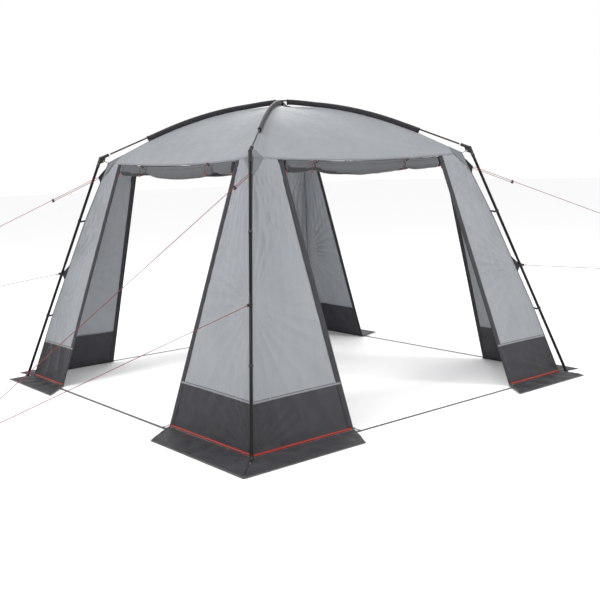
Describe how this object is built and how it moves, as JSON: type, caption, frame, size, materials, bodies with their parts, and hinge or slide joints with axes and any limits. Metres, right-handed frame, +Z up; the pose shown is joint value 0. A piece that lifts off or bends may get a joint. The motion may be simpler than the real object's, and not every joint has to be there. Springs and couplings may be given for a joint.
{
  "type": "tarp shelter",
  "caption": "Square camping shelter: a domed canopy on crossed roof poles and splayed legs, corner walls with mud skirts, rolled-up doors and guy ropes.",
  "frame": {"origin": "on the ground, in the middle of the square that the four feet make", "axes": "+Z up. The sides face -X (front left), -Y (front right), +Y (back left) and +X (back right); the corners are front (-X -Y), right (+X -Y), back (+X +Y) and left (-X +Y)"},
  "size_m": [4.9635, 3.655, 2.2469],
  "materials": {
    "fibreglass_pole": "pultruded glass fibre rod, satin black",
    "moulded_plastic": "moulded black nylon, fine texture",
    "coated_steel": "black powder-coated steel tube",
    "light_polyester": "coated woven polyester, light grey",
    "dark_polyester": "coated woven polyester, charcoal",
    "webbing": "flat woven webbing, black",
    "red_cord": "braided polyester cord, red",
    "red_tape": "woven edge tape, red",
    "zip_metal": "painted cast zip slider",
    "ferrule_metal": "bright drawn ferrule"
  },
  "bodies": {
    "shelter": {"roof_pole_left_right": "fibreglass_pole", "roof_pole_front_back": "fibreglass_pole", "elbow_front": "moulded_plastic", "leg_front": "coated_steel", "pole_sleeve_front": "dark_polyester", "skirt_front": "dark_polyester", "elbow_right": "moulded_plastic", "leg_right": "coated_steel", "pole_sleeve_right": "dark_polyester", "skirt_right": "dark_polyester", "elbow_back": "moulded_plastic", "leg_back": "coated_steel", "pole_sleeve_back": "dark_polyester", "skirt_back": "dark_polyester", "elbow_left": "moulded_plastic", "leg_left": "coated_steel", "pole_sleeve_left": "dark_polyester", "skirt_left": "dark_polyester", "roof_panel_front_left": "light_polyester", "wall_front_front_left": "light_polyester", "wall_left_front_left": "light_polyester", "roof_panel_front_right": "light_polyester", "wall_front_front_right": "light_polyester", "wall_right_front_right": "light_polyester", "roof_panel_back_left": "light_polyester", "wall_left_back_left": "light_polyester", "wall_back_back_left": "light_polyester", "roof_panel_back_right": "light_polyester", "wall_right_back_right": "light_polyester", "wall_back_back_right": "light_polyester", "ground_strap": "webbing", "guy_upper_front": "red_cord", "guy_lower_front": "red_cord", "guy_upper_left": "red_cord", "guy_lower_left": "red_cord", "guy_upper_right": "red_cord", "guy_lower_right": "red_cord"},
    "door_roll_front_left": {"door_roll_front_left": "light_polyester"},
    "toggle_front_left_front": {"toggle_front_left_front": "moulded_plastic"},
    "zip_slider_front_left_front": {"zip_slider_front_left_front": "zip_metal"},
    "toggle_front_left_left": {"toggle_front_left_left": "moulded_plastic"},
    "zip_slider_front_left_left": {"zip_slider_front_left_left": "zip_metal"},
    "door_roll_front_right": {"door_roll_front_right": "light_polyester"},
    "toggle_front_right_front": {"toggle_front_right_front": "moulded_plastic"},
    "zip_slider_front_right_front": {"zip_slider_front_right_front": "zip_metal"},
    "toggle_front_right_right": {"toggle_front_right_right": "moulded_plastic"},
    "zip_slider_front_right_right": {"zip_slider_front_right_right": "zip_metal"},
    "door_roll_back_left": {"door_roll_back_left": "light_polyester"},
    "toggle_back_left_left": {"toggle_back_left_left": "moulded_plastic"},
    "zip_slider_back_left_left": {"zip_slider_back_left_left": "zip_metal"},
    "toggle_back_left_back": {"toggle_back_left_back": "moulded_plastic"},
    "zip_slider_back_left_back": {"zip_slider_back_left_back": "zip_metal"},
    "door_roll_back_right": {"door_roll_back_right": "light_polyester"},
    "toggle_back_right_right": {"toggle_back_right_right": "moulded_plastic"},
    "zip_slider_back_right_right": {"zip_slider_back_right_right": "zip_metal"},
    "toggle_back_right_back": {"toggle_back_right_back": "moulded_plastic"},
    "zip_slider_back_right_back": {"zip_slider_back_right_back": "zip_metal"},
    "tensioner_front": {"tensioner_front": "moulded_plastic"},
    "tensioner_left": {"tensioner_left": "moulded_plastic"},
    "tensioner_right": {"tensioner_right": "moulded_plastic"}
  },
  "joints": [
    {"name": "door_swing_front_left", "type": "hinge", "parent": "shelter", "child": "door_roll_front_left", "pos_m": [-1.02098, 0, 1.76186], "axis": [0, 1, 0], "range_deg": [-8, 20]},
    {"name": "door_swing_front_right", "type": "hinge", "parent": "shelter", "child": "door_roll_front_right", "pos_m": [0, -0.95021, 1.76096], "axis": [-1, 0, 0], "range_deg": [-8, 20]},
    {"name": "door_swing_back_left", "type": "hinge", "parent": "shelter", "child": "door_roll_back_left", "pos_m": [0, 0.95021, 1.76096], "axis": [1, 0, 0], "range_deg": [-8, 20]},
    {"name": "door_swing_back_right", "type": "hinge", "parent": "shelter", "child": "door_roll_back_right", "pos_m": [1.02098, 0, 1.76186], "axis": [0, -1, 0], "range_deg": [-8, 20]},
    {"name": "toggle_turn_front_left_front", "type": "hinge", "parent": "door_roll_front_left", "child": "toggle_front_left_front", "pos_m": [-1.06814, -0.5, 1.74809], "axis": [-1, 0, 0], "range_deg": [-90, 90]},
    {"name": "toggle_turn_front_left_left", "type": "hinge", "parent": "door_roll_front_left", "child": "toggle_front_left_left", "pos_m": [-1.0653, 0.4, 1.74478], "axis": [-1, 0, 0], "range_deg": [-90, 90]},
    {"name": "toggle_turn_front_right_front", "type": "hinge", "parent": "door_roll_front_right", "child": "toggle_front_right_front", "pos_m": [-0.5, -0.99712, 1.7469], "axis": [0, -1, 0], "range_deg": [-90, 90]},
    {"name": "toggle_turn_front_right_right", "type": "hinge", "parent": "door_roll_front_right", "child": "toggle_front_right_right", "pos_m": [0.4, -0.99465, 1.74401], "axis": [0, -1, 0], "range_deg": [-90, 90]},
    {"name": "toggle_turn_back_left_left", "type": "hinge", "parent": "door_roll_back_left", "child": "toggle_back_left_left", "pos_m": [-0.5, 0.99712, 1.7469], "axis": [0, 1, 0], "range_deg": [-90, 90]},
    {"name": "toggle_turn_back_left_back", "type": "hinge", "parent": "door_roll_back_left", "child": "toggle_back_left_back", "pos_m": [0.4, 0.99465, 1.74401], "axis": [0, 1, 0], "range_deg": [-90, 90]},
    {"name": "toggle_turn_back_right_right", "type": "hinge", "parent": "door_roll_back_right", "child": "toggle_back_right_right", "pos_m": [1.06814, -0.5, 1.74809], "axis": [1, 0, 0], "range_deg": [-90, 90]},
    {"name": "toggle_turn_back_right_back", "type": "hinge", "parent": "door_roll_back_right", "child": "toggle_back_right_back", "pos_m": [1.0653, 0.4, 1.74478], "axis": [1, 0, 0], "range_deg": [-90, 90]},
    {"name": "zip_slide_front_left_front", "type": "slide", "parent": "shelter", "child": "zip_slider_front_left_front", "axis": [-0.2816, 0.0865, -0.9556], "range_m": [0, 1.715]},
    {"name": "zip_slide_front_left_left", "type": "slide", "parent": "shelter", "child": "zip_slider_front_left_left", "axis": [-0.2807, 0.1186, -0.9524], "range_m": [0, 1.722]},
    {"name": "zip_slide_front_right_front", "type": "slide", "parent": "shelter", "child": "zip_slider_front_right_front", "axis": [0.0268, -0.3186, -0.9475], "range_m": [0, 1.728]},
    {"name": "zip_slide_front_right_right", "type": "slide", "parent": "shelter", "child": "zip_slider_front_right_right", "axis": [0.0697, -0.3179, -0.9455], "range_m": [0, 1.732]},
    {"name": "zip_slide_back_left_left", "type": "slide", "parent": "shelter", "child": "zip_slider_back_left_left", "axis": [-0.0107, 0.3187, -0.9478], "range_m": [0, 1.728]},
    {"name": "zip_slide_back_left_back", "type": "slide", "parent": "shelter", "child": "zip_slider_back_left_back", "axis": [0, 0.3187, -0.9478], "range_m": [0, 1.727]},
    {"name": "zip_slide_back_right_right", "type": "slide", "parent": "shelter", "child": "zip_slider_back_right_right", "axis": [0.2827, 0, -0.9592], "range_m": [0, 1.708]},
    {"name": "zip_slide_back_right_back", "type": "slide", "parent": "shelter", "child": "zip_slider_back_right_back", "axis": [0.2826, -0.0217, -0.959], "range_m": [0, 1.709]},
    {"name": "tensioner_slide_front", "type": "slide", "parent": "shelter", "child": "tensioner_front", "axis": [-0.8314, 0, -0.5556], "range_m": [-0.118, 0.35]},
    {"name": "tensioner_slide_left", "type": "slide", "parent": "shelter", "child": "tensioner_left", "axis": [-0.646, 0.646, -0.4067], "range_m": [-0.372, 0.35]},
    {"name": "tensioner_slide_right", "type": "slide", "parent": "shelter", "child": "tensioner_right", "axis": [0.6566, -0.6575, -0.3695], "range_m": [-0.201, 0.35]}
  ]
}
